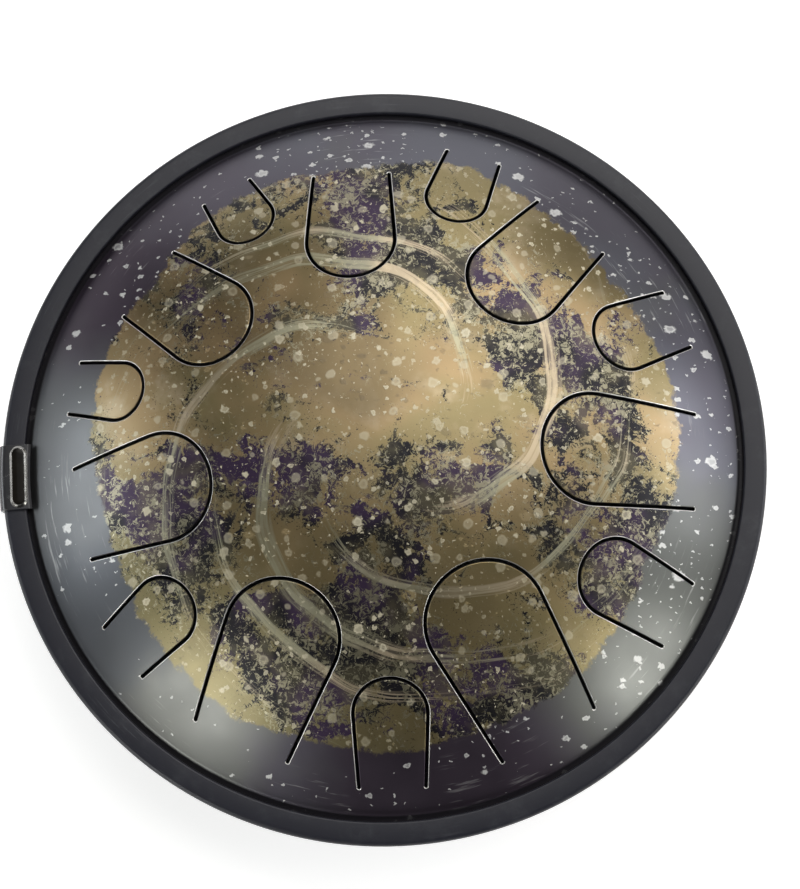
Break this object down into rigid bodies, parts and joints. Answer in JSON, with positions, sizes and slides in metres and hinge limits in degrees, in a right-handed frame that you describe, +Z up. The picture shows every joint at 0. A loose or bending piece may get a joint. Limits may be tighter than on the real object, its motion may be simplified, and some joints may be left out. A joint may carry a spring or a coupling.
{
  "type": "steel tongue drum",
  "caption": "Round steel tongue drum: domed top with slot-cut tongues, bowl-shaped bottom shell with a sound port, rubber rim band with a clip, rubber feet.",
  "frame": {"origin": "on the surface that the drum stands on, under the drum's axis", "axes": "+Z up along the drum's axis, -Y towards the player, +X to the player's right"},
  "size_m": [0.3577, 0.356, 0.1287],
  "materials": {
    "dome_paint": "pearl grey-violet paint with a mottled bronze centre, satin",
    "tongue_paint": "mottled bronze paint, satin",
    "bowl_paint": "plain grey-violet paint, satin",
    "adhesive": "cured bead, matte",
    "band_rubber": "dark slate, satin",
    "clip_plastic": "black, satin",
    "plate_metal": "bright bezel",
    "plate_enamel": "black enamel, bare",
    "foot_rubber": "black, matte",
    "fastener_steel": "zinc plated"
  },
  "bodies": {
    "drum": {"top_shell": "dome_paint", "bottom_shell": "bowl_paint", "flange_seal": "adhesive", "rim_band": "band_rubber", "rim_clip": "clip_plastic", "plate_frame": "plate_metal", "plate_inlay": "plate_enamel", "foot_1": "foot_rubber", "foot_2": "foot_rubber", "foot_3": "foot_rubber", "foot_4": "foot_rubber", "foot_screws": "fastener_steel", "foot_washers": "fastener_steel", "foot_nuts": "fastener_steel"},
    "tongue_01": {"tongue_01": "tongue_paint"},
    "tongue_02": {"tongue_02": "tongue_paint"},
    "tongue_03": {"tongue_03": "tongue_paint"},
    "tongue_04": {"tongue_04": "tongue_paint"},
    "tongue_05": {"tongue_05": "tongue_paint"},
    "tongue_06": {"tongue_06": "tongue_paint"},
    "tongue_07": {"tongue_07": "tongue_paint"},
    "tongue_08": {"tongue_08": "tongue_paint"},
    "tongue_09": {"tongue_09": "tongue_paint"},
    "tongue_10": {"tongue_10": "tongue_paint"},
    "tongue_11": {"tongue_11": "tongue_paint"},
    "tongue_12": {"tongue_12": "tongue_paint"},
    "tongue_13": {"tongue_13": "tongue_paint"},
    "tongue_14": {"tongue_14": "tongue_paint"}
  },
  "joints": [
    {"name": "tongue_01_flex", "type": "hinge", "parent": "drum", "child": "tongue_01", "pos_m": [0.07452, -0.12907, 0.08387], "axis": [-0.866, -0.5, 0], "range_deg": [-0.8, 0.8], "stiffness_Nm_per_rad": 115.5},
    {"name": "tongue_02_flex", "type": "hinge", "parent": "drum", "child": "tongue_02", "pos_m": [-0.06267, -0.13166, 0.08592], "axis": [-0.9122, 0.4094, -0.0141], "range_deg": [-0.8, 0.8], "stiffness_Nm_per_rad": 123.2},
    {"name": "tongue_03_flex", "type": "hinge", "parent": "drum", "child": "tongue_03", "pos_m": [0.1425, -0.00622, 0.08789], "axis": [-0.0436, -0.999, 0], "range_deg": [-0.8, 0.8], "stiffness_Nm_per_rad": 122.1},
    {"name": "tongue_04_flex", "type": "hinge", "parent": "drum", "child": "tongue_04", "pos_m": [-0.13625, -0.02957, 0.08981], "axis": [-0.2235, 0.9747, -0.0069], "range_deg": [-0.8, 0.8], "stiffness_Nm_per_rad": 134.1},
    {"name": "tongue_05_flex", "type": "hinge", "parent": "drum", "child": "tongue_05", "pos_m": [0.08801, 0.10398, 0.09167], "axis": [0.7556, -0.655, 0.0068], "range_deg": [-0.8, 0.8], "stiffness_Nm_per_rad": 126.2},
    {"name": "tongue_06_flex", "type": "hinge", "parent": "drum", "child": "tongue_06", "pos_m": [-0.10799, 0.07769, 0.09347], "axis": [0.5937, 0.8046, 0.0067], "range_deg": [-0.8, 0.8], "stiffness_Nm_per_rad": 131.1},
    {"name": "tongue_07_flex", "type": "hinge", "parent": "drum", "child": "tongue_07", "pos_m": [-0.01386, 0.12898, 0.09528], "axis": [0.9987, 0.0338, 0.0393], "range_deg": [-0.8, 0.8], "stiffness_Nm_per_rad": 127.5},
    {"name": "tongue_08_flex", "type": "hinge", "parent": "drum", "child": "tongue_08", "pos_m": [0.13354, -0.07543, 0.081], "axis": [-0.4594, -0.8879, -0.0248], "range_deg": [-0.8, 0.8], "stiffness_Nm_per_rad": 120.1},
    {"name": "tongue_09_flex", "type": "hinge", "parent": "drum", "child": "tongue_09", "pos_m": [0.00484, -0.15171, 0.08206], "axis": [-0.9998, -0.0195, 0.0082], "range_deg": [-0.8, 0.8], "stiffness_Nm_per_rad": 119.3},
    {"name": "tongue_10_flex", "type": "hinge", "parent": "drum", "child": "tongue_10", "pos_m": [0.13703, 0.06147, 0.08312], "axis": [0.4207, -0.9071, -0.0082], "range_deg": [-0.8, 0.8], "stiffness_Nm_per_rad": 123.7},
    {"name": "tongue_11_flex", "type": "hinge", "parent": "drum", "child": "tongue_11", "pos_m": [-0.11685, -0.09179, 0.08416], "axis": [-0.6277, 0.7784, -0.0082], "range_deg": [-0.8, 0.8], "stiffness_Nm_per_rad": 130.9},
    {"name": "tongue_12_flex", "type": "hinge", "parent": "drum", "child": "tongue_12", "pos_m": [0.04334, 0.14045, 0.08518], "axis": [0.9516, -0.3071, 0.0082], "range_deg": [-0.8, 0.8], "stiffness_Nm_per_rad": 123.2},
    {"name": "tongue_13_flex", "type": "hinge", "parent": "drum", "child": "tongue_13", "pos_m": [-0.14228, 0.02989, 0.08619], "axis": [0.1928, 0.9812, -0.0082], "range_deg": [-0.8, 0.8], "stiffness_Nm_per_rad": 130.2},
    {"name": "tongue_14_flex", "type": "hinge", "parent": "drum", "child": "tongue_14", "pos_m": [-0.07298, 0.12389, 0.08718], "axis": [0.8616, 0.5075, 0], "range_deg": [-0.8, 0.8], "stiffness_Nm_per_rad": 142.8}
  ]
}
